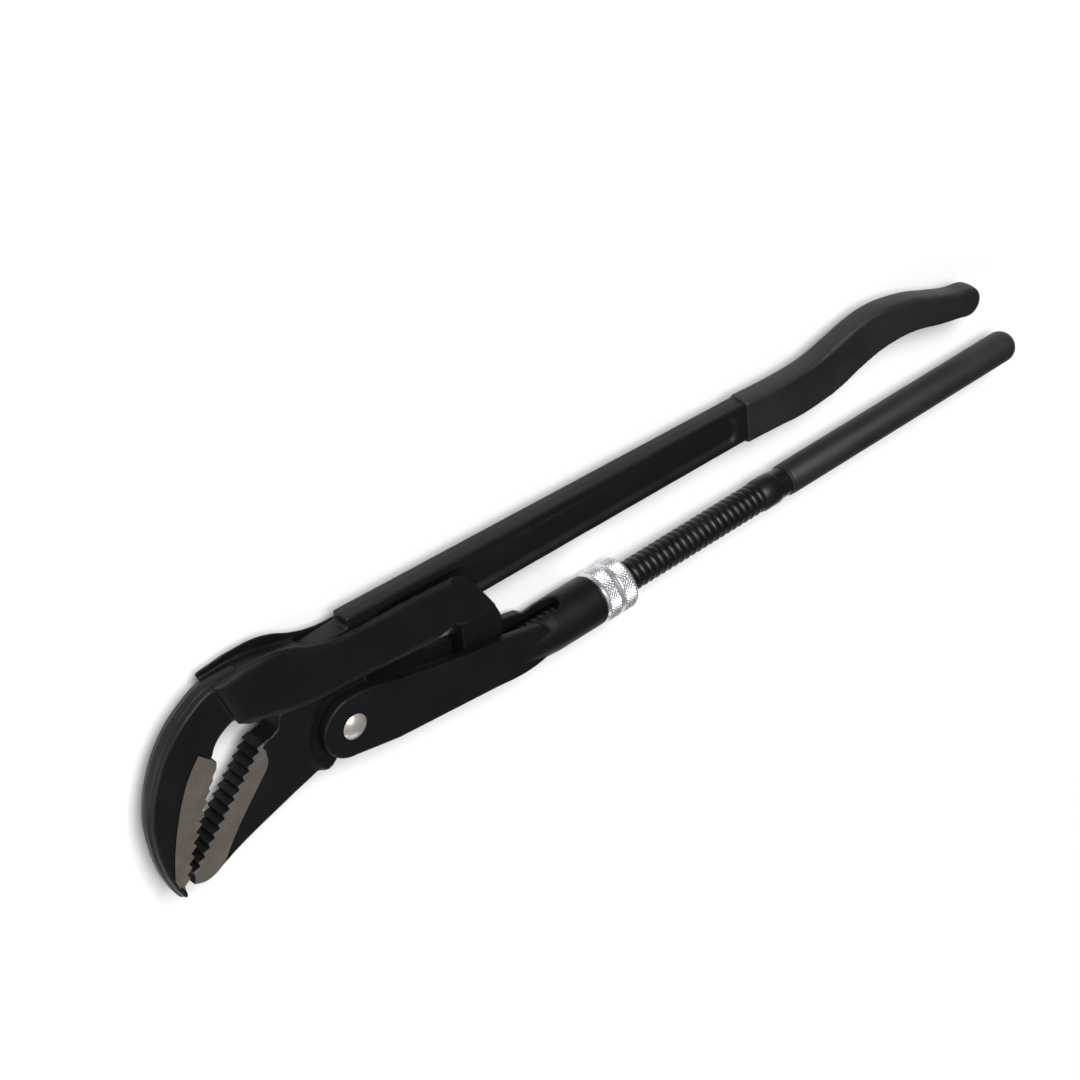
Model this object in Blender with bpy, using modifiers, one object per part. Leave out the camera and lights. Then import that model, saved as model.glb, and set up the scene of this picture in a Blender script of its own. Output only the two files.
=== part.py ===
"""Pipe wrench, Swedish pattern: 45 degree jaws, 2 inch size, lying on its side.

The upper lever and the lower jaw are one forging. The hook jaw's loop straddles its shank, and
its tail is pinned to a threaded spindle, the lower lever. The spindle slides in a forked yoke that
swings on a rivet through the lower jaw, and the knurled nut on the yoke's collar draws it in or out.

Design axes, in millimetres: X along the spindle from the collar's end face to the grips, Y towards
the upper lever, Z through the thickness with the tool's mid-plane at zero. MM turns them to metres.
The parts hang from one empty, which puts the origin under the middle of the whole tool.
"""
import math

import bmesh
import bpy
from mathutils import Matrix, Vector

MM = 0.001
SOFT = "soft"            # marks an outline point that the curve passes through smoothly

# Placing of the design axes in the part's frame: the middle of the whole tool's box
BOX_MIDDLE_X = 18.3
BOX_MIDDLE_Y = 30.1

# Thicknesses, measured from the mid-plane to one face
JAW_HALF = 5.9           # toothed strips of both jaws
LOWER_BODY_HALF = 6.2    # forged body of the lower jaw
YOKE_SEAT_HALF = 5.0     # its flat seat under the yoke's ears
SHANK_HALF = 5.3         # shank and flanges of the upper lever
WEB_HALF = 3.2           # web of the upper lever's I section
HOOK_FLANK_HALF = 5.5    # painted flank of the hook jaw
BACK_ROUNDING = 1.8      # of the hook jaw's back
LOOP_INNER_HALF = 6.5    # the loop's cheeks start here, clear of the lower jaw's body
LOOP_HALF = 9.6
TAIL_HALF = 5.0          # tail between the yoke's cheeks
TAIL_UPPER_HALF = 8.4    # tail plates beside the lever, and the bridge under it
SLOT_HALF = 5.3          # inner faces of the yoke's fork
YOKE_HALF = 10.5

# Yoke, its rivet and the tail pin
RIVET_X, RIVET_Y = -152.5, 20.5
RIVET_RADIUS = 4.0
RIVET_HEAD_RADIUS = 6.0
RIVET_HEAD_HEIGHT = 2.6
EAR_RADIUS = 17.0
TAIL_PIN_X = -72.0
TAIL_PIN_RADIUS = 3.0
TAIL_RADIUS = 9.5
PIN_CLEARANCE = 0.05     # running fit of the rivet and of the tail pin
GAP = 0.3                # between faces that touch

# Spindle and nut
SPINDLE_RADIUS = 8.0
THREAD_PITCH = 4.0
THREAD_DEPTH = 1.1
THREAD_START, THREAD_END = -57.0, 111.0
PLAIN_RADIUS = 8.4
NECK_START, GRIP_START, GRIP_END = 122.0, 130.0, 299.0
NECK_RADIUS = 7.7
GRIP_RADIUS = 8.4
ROD_INSIDE_GRIP_RADIUS = 6.9
TONGUE_HALF = 2.4
TONGUE_RADIUS = 7.0
BORE_RADIUS = 8.3
BORE_DEPTH = 116.0       # how far the yoke's bore runs from its end face
SLOT_END = 21.0          # the slot stops this far from the end face
COLLAR_RADIUS = 13.0
COLLAR_LENGTH = 38.0
SPIGOT_RADIUS = 10.6     # reduced end of the collar inside the nut
SPIGOT_LENGTH = 12.0
NUT_RADIUS = 13.65
NUT_LENGTH = 19.0
RING_X = 6.0             # middle of the retaining ring's groove
RING_WIRE = 0.9
RING_RADIUS = 10.7

# Jaws
TOOTH_COUNT = 13
TOOTH_DEPTH = 2.3
TOOTH_LEAN = 0.3         # where a tip lies between its two valleys
LOWER_TEETH_START = (-245.8, -11.6)
LOWER_TEETH_END = (-201.8, 33.4)
HOOK_TEETH_START = (-251.4, -13.6)
HOOK_TEETH_END = (-225.4, 40.0)
HOOK_TEETH_BOW = 2.6     # hollow of the hook jaw's tooth line
HOOK_TOOTH_COUNT = 11

# Upper lever
SHANK_TOP, SHANK_BOTTOM = 70.2, 45.6
LEVER_STEP_X = -145.0    # where the lever's upper flange starts
GRIP_SEAM_X = 103.0
SLEEVE_WALL = 1.2
SLEEVE_HALF = 6.3
GRIP_OVERLAP = 6.0       # how far the curved end's outline starts before the seam
RIM = 4.0                # height of the lever's flanges


def collection(name):
    """Make a collection in the scene."""
    made = bpy.data.collections.new(name)
    bpy.context.scene.collection.children.link(made)
    return made


def material(name, colour, roughness, metallic):
    """Principled material from a linear colour."""
    made = bpy.data.materials.new(name)
    made.use_nodes = True
    shader = made.node_tree.nodes["Principled BSDF"]
    shader.inputs["Base Color"].default_value = (*colour, 1.0)
    shader.inputs["Roughness"].default_value = roughness
    shader.inputs["Metallic"].default_value = metallic
    made.diffuse_color = (*colour, 1.0)
    return made


def mesh_object(name, mesh, group):
    """Object of a mesh, linked to one collection."""
    made = bpy.data.objects.new(name, mesh)
    group.objects.link(made)
    return made


def frozen(obj, group):
    """Mesh object with the evaluated shape of obj, which is removed."""
    graph = bpy.context.evaluated_depsgraph_get()
    graph.update()
    mesh = bpy.data.meshes.new_from_object(obj.evaluated_get(graph))
    mesh.transform(obj.matrix_world)
    name = obj.name
    bpy.data.objects.remove(obj)
    shell = bmesh.new()
    shell.from_mesh(mesh)
    bmesh.ops.remove_doubles(shell, verts=shell.verts, dist=0.00001)
    bmesh.ops.dissolve_degenerate(shell, dist=0.00001, edges=shell.edges)
    bmesh.ops.recalc_face_normals(shell, faces=shell.faces)
    shell.to_mesh(mesh)
    shell.free()
    mesh.name = name
    return mesh_object(name, mesh, group)


def plate(name, outline, low, high, rounding=0.0):
    """Flat solid of an outline, from the level low to the level high, with its rim rounded."""
    curve = bpy.data.curves.new(name, "CURVE")
    curve.dimensions = "2D"
    curve.fill_mode = "BOTH"
    curve.resolution_u = 3
    curve.extrude = ((high - low) / 2 - rounding) * MM
    curve.bevel_depth = rounding * MM
    curve.offset = -rounding * MM
    curve.bevel_resolution = 0
    spline = curve.splines.new("BEZIER")
    spline.bezier_points.add(len(outline) - 1)
    for point, (x, y, *soft) in zip(spline.bezier_points, outline):
        point.co = (x * MM, y * MM, 0.0)
        point.handle_left_type = point.handle_right_type = "AUTO" if soft else "VECTOR"
    spline.use_cyclic_u = True
    made = mesh_object(name, curve, PARTS)
    made.location.z = (low + high) / 2 * MM
    bpy.context.view_layer.update()
    return frozen(made, PARTS)


def disc(name, x, y, radius, low, high, sides=32):
    """Upright cylinder round (x, y), from the level low to the level high."""
    shell = bmesh.new()
    bmesh.ops.create_cone(shell, cap_ends=True, segments=sides, radius1=radius * MM,
                          radius2=radius * MM, depth=(high - low) * MM,
                          matrix=Matrix.Translation(Vector((x, y, (low + high) / 2)) * MM))
    mesh = bpy.data.meshes.new(name)
    shell.to_mesh(mesh)
    shell.free()
    return mesh_object(name, mesh, PARTS)


def block(name, low, high):
    """Box between two corners."""
    low, high = Vector(low), Vector(high)
    shell = bmesh.new()
    bmesh.ops.create_cube(shell, size=1.0)
    bmesh.ops.scale(shell, vec=(high - low) * MM, verts=shell.verts)
    bmesh.ops.translate(shell, vec=(low + high) / 2 * MM, verts=shell.verts)
    mesh = bpy.data.meshes.new(name)
    shell.to_mesh(mesh)
    shell.free()
    return mesh_object(name, mesh, PARTS)


def turned(name, profile, sides, closed=False):
    """Solid turned about the spindle's axis from (x, radius) points; a closed profile is a ring."""
    shell = bmesh.new()
    verts = [shell.verts.new((radius * MM, 0.0, x * MM)) for x, radius in profile]
    for first, second in zip(verts, verts[1:] + (verts[:1] if closed else [])):
        shell.edges.new((first, second))
    mesh = bpy.data.meshes.new(name)
    shell.to_mesh(mesh)
    shell.free()
    made = mesh_object(name, mesh, PARTS)
    screw = made.modifiers.new("turn", "SCREW")
    screw.steps = screw.render_steps = sides
    screw.use_merge_vertices = True
    screw.merge_threshold = 0.00001
    made.rotation_euler.y = math.pi / 2
    bpy.context.view_layer.update()
    return frozen(made, PARTS)


def boolean(body, tool, operation):
    """Join a piece to a body or cut it away; a cutter stays as a wire guide."""
    name = body.name
    step = body.modifiers.new(operation.lower(), "BOOLEAN")
    step.operation = operation
    step.solver = "EXACT"
    step.object = tool
    bpy.context.view_layer.update()
    body = frozen(body, PARTS)
    body.name = name
    if operation == "UNION":
        bpy.data.objects.remove(tool)
    else:
        PARTS.objects.unlink(tool)
        CUTTERS.objects.link(tool)
        tool.hide_render = True
        tool.display_type = "WIRE"
        tool.name = "cutter_" + tool.name
    return body


def join(body, *pieces):
    """Union of a body with further pieces."""
    for piece in pieces:
        body = boolean(body, piece, "UNION")
    return body


def cut(body, *tools):
    """A body with tools cut out of it."""
    for tool in tools:
        body = boolean(body, tool, "DIFFERENCE")
    return body


def both_faces(maker, name, low, high, *details):
    """Two pieces of one outline, on the front and on the rear of the mid-plane."""
    return (maker(name + "_front", *details, low, high), maker(name + "_rear", *details, -high, -low))


def arc(x, y, radius, start, end, steps):
    """Points on a circle round (x, y), between two angles in degrees."""
    angles = [math.radians(start + (end - start) * i / steps) for i in range(steps + 1)]
    return [(x + radius * math.cos(a), y + radius * math.sin(a)) for a in angles]


def tooth_row(start, end, count, side, lean, bow=0.0):
    """Valleys and tips of a row of teeth; side is +1 where tips lie left of the way from start."""
    start, end = Vector(start), Vector(end)
    along = end - start
    across = Vector((-along.y, along.x)).normalized() * side

    def on_line(t):
        return start + along * t - across * (4 * bow * t * (1 - t))

    points = []
    for i in range(count):
        points.append(tuple(on_line(i / count)))
        points.append(tuple(on_line((i + lean) / count) + across * TOOTH_DEPTH))
    points.append(tuple(on_line(1.0)))
    return points


def lever_grip_outline(inset, overlap):
    """Curved end of the upper lever, drawn in by inset; it starts overlap before the seam."""
    middle = [(GRIP_SEAM_X - overlap, 51.8, 12.8), (125.0, 50.2, 12.6), (139.0, 49.4, 13.0), (153.0, 50.0, 13.2),
              (168.0, 52.8, 13.8), (182.0, 56.4, 13.4), (196.0, 58.6, 12.5), (210.0, 58.0, 11.2),
              (225.0, 55.0, 10.2), (240.0, 49.8, 9.4), (254.0, 45.6, 8.4)]
    top = [(x, y + half - inset, SOFT) for x, y, half in middle]
    bottom = [(x, y - half + inset, SOFT) for x, y, half in middle]
    top[0], bottom[0] = top[0][:2], bottom[0][:2]
    knob_x, knob_y, knob_radius = 263.0, 43.4, 8.4 - inset
    knob = [(*point, SOFT) for point in arc(knob_x, knob_y, knob_radius, 70.0, -90.0, 5)]
    return top + knob + bottom[::-1]


def handle_jaw():
    """Upper lever, shank and lower jaw: one forging."""
    lower_jaw = tooth_row(LOWER_TEETH_START, LOWER_TEETH_END, TOOTH_COUNT, 1.0, TOOTH_LEAN) + [
        (-200.0, 40.0), (-197.0, 47.0), (-193.0, 56.0), (-191.0, SHANK_TOP), (-120.0, SHANK_TOP),
        (-120.0, SHANK_BOTTOM), (-137.5, SHANK_BOTTOM), (-138.5, 40.0),
        *[(*p, SOFT) for p in arc(RIVET_X, RIVET_Y, 14.5, 10.0, -110.0, 5)],
        (-163.0, 5.0, SOFT), (-167.5, 2.6, SOFT), (-172.0, 3.8),
        (-196.0, -3.6, SOFT), (-215.0, -9.6, SOFT), (-233.0, -16.6, SOFT), (-240.0, -18.2, SOFT),
        (-246.6, -16.2)]
    body = plate("handle_jaw", lower_jaw, -JAW_HALF, JAW_HALF)

    raised = [(-198.4, 33.0, SOFT), (-193.6, 43.6), (-178.0, 44.2), (-142.0, 42.6),
              (-141.0, 20.0), (-171.0, 5.2), (-196.0, -2.4, SOFT), (-215.0, -8.4, SOFT),
              (-231.5, -14.6), (-224.0, -7.5, SOFT), (-212.0, 8.4, SOFT), (-202.4, 20.0, SOFT)]
    faces = both_faces(plate, "body_face", SHANK_HALF, LOWER_BODY_HALF, raised)
    body = join(body, *faces)
    seat = both_faces(disc, "yoke_seat", YOKE_SEAT_HALF, LOWER_BODY_HALF + 1.0,
                      RIVET_X, RIVET_Y, EAR_RADIUS + 5.5)

    lever = [(LEVER_STEP_X, 75.3), (GRIP_SEAM_X, 63.4), (GRIP_SEAM_X, 40.4), (-58.0, 45.0),
             (-130.0, SHANK_BOTTOM),
             (-150.0, SHANK_BOTTOM), (-150.0, SHANK_TOP - 2.0), (LEVER_STEP_X, SHANK_TOP - 2.0)]
    grip_core = plate("grip_core", lever_grip_outline(SLEEVE_WALL + GAP, GRIP_OVERLAP), -SHANK_HALF + 0.6,
                      SHANK_HALF - 0.6, 1.5)
    body = join(body, plate("lever", lever, -SHANK_HALF, SHANK_HALF), grip_core)
    web = [(-128.0, 74.3 - RIM - 1.0), (GRIP_SEAM_X - 6.0, 63.6 - RIM),
           (GRIP_SEAM_X - 6.0, 40.7 + RIM), (-128.0, SHANK_BOTTOM + RIM)]
    webs = both_faces(plate, "web_pocket", WEB_HALF, SHANK_HALF + 1.0, web)
    rivet_hole = disc("rivet_hole", RIVET_X, RIVET_Y, RIVET_RADIUS + PIN_CLEARANCE, -20.0, 20.0)
    return cut(body, *seat, *webs, rivet_hole)


def hook_jaw():
    """Hook jaw with the loop round the shank and the tail that the spindle pushes."""
    back = [(-214.0, 80.6), (-218.5, 80.6, SOFT), (-224.5, 79.0, SOFT), (-230.5, 76.0, SOFT),
            (-243.6, 66.0, SOFT), (-254.6, 50.0, SOFT), (-261.4, 30.0, SOFT), (-262.4, 18.0, SOFT),
            (-260.2, -3.0, SOFT), (-257.0, -13.0, SOFT), (-252.6, -22.2)]
    flank = [*back, (-250.6, -19.6), (-252.4, -14.0), (-249.0, 0.0, SOFT), (-243.0, 16.0, SOFT),
             (-235.0, 32.0, SOFT), (-228.4, 42.0), (-224.2, 44.0, SOFT), (-221.5, 48.5, SOFT),
             (-217.0, 52.6, SOFT), (-209.0, 56.0), (-205.0, 60.0), (-205.0, 80.6)]
    teeth = tooth_row(HOOK_TEETH_START, HOOK_TEETH_END, HOOK_TOOTH_COUNT, -1.0, 1.0 - TOOTH_LEAN,
                      HOOK_TEETH_BOW)
    strip = [*teeth, (-228.4, 46.0), (-233.4, 50.6), (-238.4, 43.6, SOFT), (-243.4, 35.0, SOFT),
             (-251.0, 14.0, SOFT), (-256.4, -5.0)]
    body = plate("hook_jaw", flank, -HOOK_FLANK_HALF, HOOK_FLANK_HALF, BACK_ROUNDING)
    body = join(body, plate("ground_strip", strip, -JAW_HALF, JAW_HALF))

    cheek = [(-218.2, 81.2), (-209.0, 57.2), (-199.0, 53.0), (-179.0, 49.2, SOFT), (-158.0, 46.6, SOFT),
             (-121.0, 44.8), (-98.0, 42.6), (-89.5, 43.6), (-85.6, 62.0), (-88.0, 65.2), (-118.0, 67.2),
             (-141.0, 69.2), (-157.0, 70.8, SOFT), (-168.0, 73.4, SOFT), (-180.0, 78.2, SOFT),
             (-190.0, 81.2, SOFT), (-202.0, 82.4)]
    cheeks = both_faces(plate, "cheek", LOOP_INNER_HALF, LOOP_HALF, cheek)
    top_wall = plate("top_wall", [(-216.0, 81.4), (-212.0, 72.0), (-205.0, 70.8), (-166.0, 70.8),
                                  (-166.0, 72.4), (-180.0, 77.6, SOFT), (-190.0, 80.6, SOFT),
                                  (-202.0, 81.8)], -LOOP_INNER_HALF - 1.0, LOOP_INNER_HALF + 1.0)
    tail_plate = [(-95.0, 44.0), (-90.0, 64.6), (-82.0, 63.8, SOFT), (-76.0, 59.4, SOFT),
                  (-70.0, 50.0, SOFT), (-65.0, 41.0, SOFT), (-62.4, 36.0), (-82.0, 36.0)]
    bridge = plate("bridge", [(-84.0, 44.4), (-67.0, 44.4), (-65.0, 41.0, SOFT), (-62.4, 36.0),
                              (-82.0, 36.0)], -TAIL_UPPER_HALF, TAIL_UPPER_HALF)
    plates = both_faces(plate, "tail_plate", LOOP_INNER_HALF, TAIL_UPPER_HALF, tail_plate)
    tail = plate("tail", [(-81.0, 40.0), (-65.6, 40.0), (-63.0, 34.0, SOFT), (-61.8, 27.0, SOFT),
                          *arc(TAIL_PIN_X, 0.0, TAIL_RADIUS, 0.0, -180.0, 10), (-81.6, 24.0)],
                 -TAIL_HALF, TAIL_HALF)
    body = join(body, top_wall, *cheeks, bridge, tail, *plates)
    pin_hole = disc("tail_pin_hole", TAIL_PIN_X, 0.0, TAIL_PIN_RADIUS + PIN_CLEARANCE, -20.0, 20.0, 24)
    tongue_slot = block("tongue_slot", (TAIL_PIN_X - 12.0, -12.0, -TONGUE_HALF - GAP),
                        (TAIL_PIN_X + 14.0, 9.5, TONGUE_HALF + GAP))
    return cut(body, tongue_slot, pin_hole)


def yoke():
    """Fork on the rivet, with the collar that carries the nut."""
    side = [*arc(RIVET_X, RIVET_Y, EAR_RADIUS, 95.0, 265.0, 16), (-129.0, -1.6), (-105.0, -4.0),
            (-81.0, -6.4), (-69.0, -7.6), (-57.0, -9.2, SOFT), (-46.0, -9.2, SOFT), (-34.0, -7.0),
            (-34.0, 7.0), (-40.0, 12.0), (-60.0, 16.6), (-95.0, 23.6), (-124.0, 31.0),
            (-142.0, 36.4, SOFT)]
    body = plate("yoke", side, -YOKE_HALF, YOKE_HALF, 0.8)
    collar_end = -COLLAR_LENGTH
    collar = turned("collar", [(0.0, 0.0), (0.0, COLLAR_RADIUS - 0.8), (-0.8, COLLAR_RADIUS),
                               (collar_end + 6.0, COLLAR_RADIUS), (collar_end - 26.0, 9.6),
                               (collar_end - 26.0, 0.0)][::-1], 36)
    spigot = turned("spigot", [(-2.0, 0.0), (-2.0, SPIGOT_RADIUS), (SPIGOT_LENGTH, SPIGOT_RADIUS),
                               (SPIGOT_LENGTH, 0.0)], 36)
    slot = block("fork_slot", (-190.0, -40.0, -SLOT_HALF), (-SLOT_END - SLOT_HALF, 50.0, SLOT_HALF))
    slot_round = turned_slot_end()
    bore = turned("spindle_bore", [(-BORE_DEPTH, 0.0), (-BORE_DEPTH, BORE_RADIUS), (20.0, BORE_RADIUS),
                                   (20.0, 0.0)], 32)
    groove = ring_groove("collar_groove", RING_RADIUS, RING_WIRE + GAP / 2)
    rivet_hole = disc("ear_hole", RIVET_X, RIVET_Y, RIVET_RADIUS + PIN_CLEARANCE, -20.0, 20.0)
    return cut(join(body, collar, spigot), slot, slot_round, bore, groove, rivet_hole)


def turned_slot_end():
    """Upright half-round end of the fork's slot."""
    shell = bmesh.new()
    upright = Matrix.Rotation(math.pi / 2, 4, "X")
    place = Matrix.Translation(Vector((-SLOT_END - SLOT_HALF, 0.0, 0.0)) * MM)
    bmesh.ops.create_cone(shell, cap_ends=True, segments=24, radius1=SLOT_HALF * MM,
                          radius2=SLOT_HALF * MM, depth=80.0 * MM, matrix=place @ upright)
    mesh = bpy.data.meshes.new("slot_end")
    shell.to_mesh(mesh)
    shell.free()
    return mesh_object("slot_end", mesh, PARTS)


def ring_groove(name, radius, wire, sides=24):
    """Ring of round wire about the spindle's axis, for the retaining ring and its grooves."""
    profile = [(x, r) for x, r in arc(RING_X, radius, wire, 90.0, -270.0, 6)[:-1]]
    return turned(name, profile, sides, closed=True)


def yoke_rivet():
    """Rivet with a domed head on each side."""
    half = YOKE_HALF + GAP
    shank = disc("yoke_rivet", RIVET_X, RIVET_Y, RIVET_RADIUS, -half, half)
    heads = []
    for end in (1.0, -1.0):
        ball = (RIVET_HEAD_RADIUS ** 2 + RIVET_HEAD_HEIGHT ** 2) / (2 * RIVET_HEAD_HEIGHT)
        rim = math.degrees(math.asin(RIVET_HEAD_RADIUS / ball))
        dome = [(z + half - ball + RIVET_HEAD_HEIGHT, r) for z, r in arc(0.0, 0.0, ball, 0.0, rim, 5)]
        dome = [*dome, (half - 0.2, RIVET_HEAD_RADIUS), (half - 0.2, 0.0)]
        dome[0] = (dome[0][0], 0.0)
        head = turned("rivet_head", dome, 32)
        turn = Matrix.Rotation(-math.pi / 2 * end, 4, "Y")
        place = Matrix.Translation(Vector((RIVET_X, RIVET_Y, 0.0)) * MM)
        head.data.transform(place @ turn)
        heads.append(head)
    return join(shank, *heads)


def adjusting_nut():
    """Knurled nut that turns on the collar's spigot and moves the spindle."""
    inner, start = BORE_RADIUS + 0.1, GAP
    end = start + NUT_LENGTH
    counterbore = SPIGOT_RADIUS + GAP
    profile = [(end - 1.2, inner), (end, inner + 1.0), (end, NUT_RADIUS - 1.6),
               (end - 1.4, NUT_RADIUS), (start + 11.6, NUT_RADIUS), (start + 10.4, NUT_RADIUS - 1.2),
               (start + 9.6, NUT_RADIUS - 1.2), (start + 8.4, NUT_RADIUS), (start + 2.6, NUT_RADIUS),
               (start, NUT_RADIUS - 1.6), (start, counterbore), (SPIGOT_LENGTH + GAP, counterbore),
               (SPIGOT_LENGTH + GAP, inner)]
    body = turned("adjusting_nut", profile, 36, closed=True)
    return cut(body, ring_groove("nut_groove", RING_RADIUS, RING_WIRE + GAP / 2, 36))


def nut_retaining_ring():
    """Sprung wire ring, half in the collar's groove and half in the nut's."""
    ring = ring_groove("nut_retaining_ring", RING_RADIUS, RING_WIRE)
    split = block("ring_split", (RING_X - 3.0, 0.0, -1.0), (RING_X + 3.0, 20.0, 1.0))
    return cut(ring, split)


def spindle():
    """Lower lever: flat eye, round thread, plain collar and the rod inside the grip."""
    turns = int((THREAD_END - THREAD_START) / THREAD_PITCH)
    root = SPINDLE_RADIUS - THREAD_DEPTH
    profile = [(THREAD_START - 1.2, 0.0), (THREAD_START - 1.2, root - 1.0)]
    for i in range(turns):
        x = THREAD_START + i * THREAD_PITCH
        profile += [(x, root), (x + 0.5 * THREAD_PITCH, SPINDLE_RADIUS)]
    profile += [(THREAD_END, root), (THREAD_END + 1.0, PLAIN_RADIUS), (NECK_START, PLAIN_RADIUS),
                (NECK_START + 2.5, NECK_RADIUS), (GRIP_START - GAP, NECK_RADIUS),
                (GRIP_START - GAP, ROD_INSIDE_GRIP_RADIUS), (GRIP_END - 8.0, ROD_INSIDE_GRIP_RADIUS),
                (GRIP_END - 4.0, ROD_INSIDE_GRIP_RADIUS - 3.0), (GRIP_END - 4.0, 0.0)]
    rod = turned("spindle", profile, 18)
    reach = THREAD_START - TAIL_PIN_X + 1.0
    tongue = plate("tongue", [*arc(TAIL_PIN_X, 0.0, TONGUE_RADIUS - 0.2, 90.0, 270.0, 12),
                              (TAIL_PIN_X + reach, -TONGUE_RADIUS + 1.5),
                              (TAIL_PIN_X + reach, TONGUE_RADIUS - 1.5)], -TONGUE_HALF, TONGUE_HALF)
    hole = disc("tongue_hole", TAIL_PIN_X, 0.0, TAIL_PIN_RADIUS + PIN_CLEARANCE, -20.0, 20.0, 24)
    return cut(join(rod, tongue), hole)


def tail_pin():
    """Pin that joins the spindle's eye and the hook jaw's tail."""
    return disc("tail_pin", TAIL_PIN_X, 0.0, TAIL_PIN_RADIUS, -TAIL_HALF + 0.1, TAIL_HALF - 0.1, 24)


def lower_grip_sleeve():
    """Dipped sleeve over the end of the spindle's rod."""
    inside = ROD_INSIDE_GRIP_RADIUS + GAP
    dome_x = GRIP_END - GRIP_RADIUS
    dome = [(x, r) for x, r in arc(dome_x, 0.0, GRIP_RADIUS, 0.0, 90.0, 6)]
    dome[0] = (GRIP_END, 0.0)
    profile = [*dome, (GRIP_START + 0.6, GRIP_RADIUS), (GRIP_START, GRIP_RADIUS - 0.5),
               (GRIP_START, inside), (GRIP_END - 7.8, inside),
               (GRIP_END - 3.6, inside - 3.0), (GRIP_END - 3.6, 0.0)]
    return turned("lower_grip_sleeve", profile, 32)


def upper_grip_sleeve():
    """Dipped sleeve over the curved end of the upper lever."""
    sleeve = plate("upper_grip_sleeve", lever_grip_outline(0.0, GRIP_OVERLAP), -SLEEVE_HALF, SLEEVE_HALF, 2.4)
    core_half = SHANK_HALF - 0.6 + GAP
    core = plate("sleeve_core", lever_grip_outline(SLEEVE_WALL, 2 * GRIP_OVERLAP), -core_half, core_half, 1.5)
    mouth = block("sleeve_mouth", (GRIP_SEAM_X - 3 * GRIP_OVERLAP, 20.0, -20.0),
                  (GRIP_SEAM_X + GAP, 90.0, 20.0))
    return cut(sleeve, core, mouth)


def empty(name, x, y, parent):
    """Empty on a joint's axis, hung from another empty; x and y are design coordinates."""
    made = bpy.data.objects.new(name, None)
    PARTS.objects.link(made)
    made.parent = parent
    made["at"] = (x, y)
    base = parent["at"] if parent else (0.0, 0.0)
    made.location = ((x - base[0]) * MM, (y - base[1]) * MM, 0.0)
    return made


def hang(piece, pivot, finish):
    """Parent a piece to an empty, with the piece's origin on it, and give it its material."""
    x, y = pivot["at"]
    piece.data.transform(Matrix.Translation((-x * MM, -y * MM, 0.0)))
    piece.parent = pivot
    piece.data.materials.clear()
    piece.data.materials.append(finish)
    piece.data.shade_smooth()
    piece.data.set_sharp_from_angle(angle=math.radians(35.0))


def build():
    """Make every piece and hang it on its joint."""
    paint = material("black_painted_steel", (0.012, 0.013, 0.014), 0.42, 0.0)
    phosphate = material("black_phosphated_steel", (0.014, 0.014, 0.015), 0.5, 0.3)
    chrome = material("chrome_plated_steel", (0.55, 0.56, 0.58), 0.18, 1.0)
    bright = material("bright_steel", (0.6, 0.6, 0.58), 0.28, 1.0)
    vinyl = material("black_dipped_vinyl", (0.01, 0.01, 0.011), 0.6, 0.0)

    frame = empty("wrench_frame", 0.0, 0.0, None)
    frame.location = (-BOX_MIDDLE_X * MM, -BOX_MIDDLE_Y * MM, NUT_RADIUS * MM)
    yoke_pivot = empty("yoke_pivot", RIVET_X, RIVET_Y, frame)
    spindle_axis = empty("spindle_axis", 0.0, 0.0, yoke_pivot)
    tail_pivot = empty("tail_pivot", TAIL_PIN_X, 0.0, spindle_axis)

    for make, pivot, finish in ((handle_jaw, frame, paint), (upper_grip_sleeve, frame, vinyl),
                                (yoke_rivet, frame, bright), (yoke, yoke_pivot, paint),
                                (nut_retaining_ring, yoke_pivot, bright),
                                (adjusting_nut, spindle_axis, chrome),
                                (spindle, spindle_axis, phosphate), (tail_pin, spindle_axis, bright),
                                (lower_grip_sleeve, spindle_axis, vinyl), (hook_jaw, tail_pivot, paint)):
        hang(make(), pivot, finish)
    for cutter in CUTTERS.objects:
        cutter.parent = frame


for old in list(bpy.data.objects):
    bpy.data.objects.remove(old, do_unlink=True)
PARTS = collection("pipe_wrench")
CUTTERS = collection("cutters")
build()
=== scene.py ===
"""Looks of a Swedish-pattern pipe wrench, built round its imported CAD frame.

Every piece is modelled on the tool's own axes, in metres: X along the spindle from the yoke collar's
end face to the grips, Y towards the upper lever, Z through the thickness with the mid-plane at zero.
A finished piece is then moved to where the CAD frame has it. Sizes in the classes of the pieces are
millimetres. Those of the studio, and the depths of a finish's relief, are metres.
"""
from __future__ import annotations

import logging
import math
from collections.abc import Iterable, Iterator, Sequence
from dataclasses import dataclass
from enum import Enum

import bmesh
import bpy
from mathutils import Matrix, Vector
from mathutils.geometry import interpolate_bezier

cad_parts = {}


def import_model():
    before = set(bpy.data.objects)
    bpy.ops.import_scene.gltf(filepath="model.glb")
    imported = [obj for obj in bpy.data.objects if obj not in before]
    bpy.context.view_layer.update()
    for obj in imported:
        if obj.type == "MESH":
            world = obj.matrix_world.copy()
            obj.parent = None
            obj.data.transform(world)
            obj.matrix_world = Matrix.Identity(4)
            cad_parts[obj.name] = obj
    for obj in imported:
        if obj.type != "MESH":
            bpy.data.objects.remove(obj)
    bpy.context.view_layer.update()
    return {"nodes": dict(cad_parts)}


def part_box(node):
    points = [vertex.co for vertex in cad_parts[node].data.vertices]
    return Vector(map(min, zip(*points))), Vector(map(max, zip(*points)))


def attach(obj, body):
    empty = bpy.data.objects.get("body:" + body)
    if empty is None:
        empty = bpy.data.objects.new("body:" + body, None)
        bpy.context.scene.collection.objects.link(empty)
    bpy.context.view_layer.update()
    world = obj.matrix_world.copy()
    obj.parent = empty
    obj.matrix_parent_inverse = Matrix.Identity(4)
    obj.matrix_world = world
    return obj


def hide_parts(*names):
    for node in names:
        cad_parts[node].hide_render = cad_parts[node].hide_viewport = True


LOG = logging.getLogger("pipe_wrench")

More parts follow.
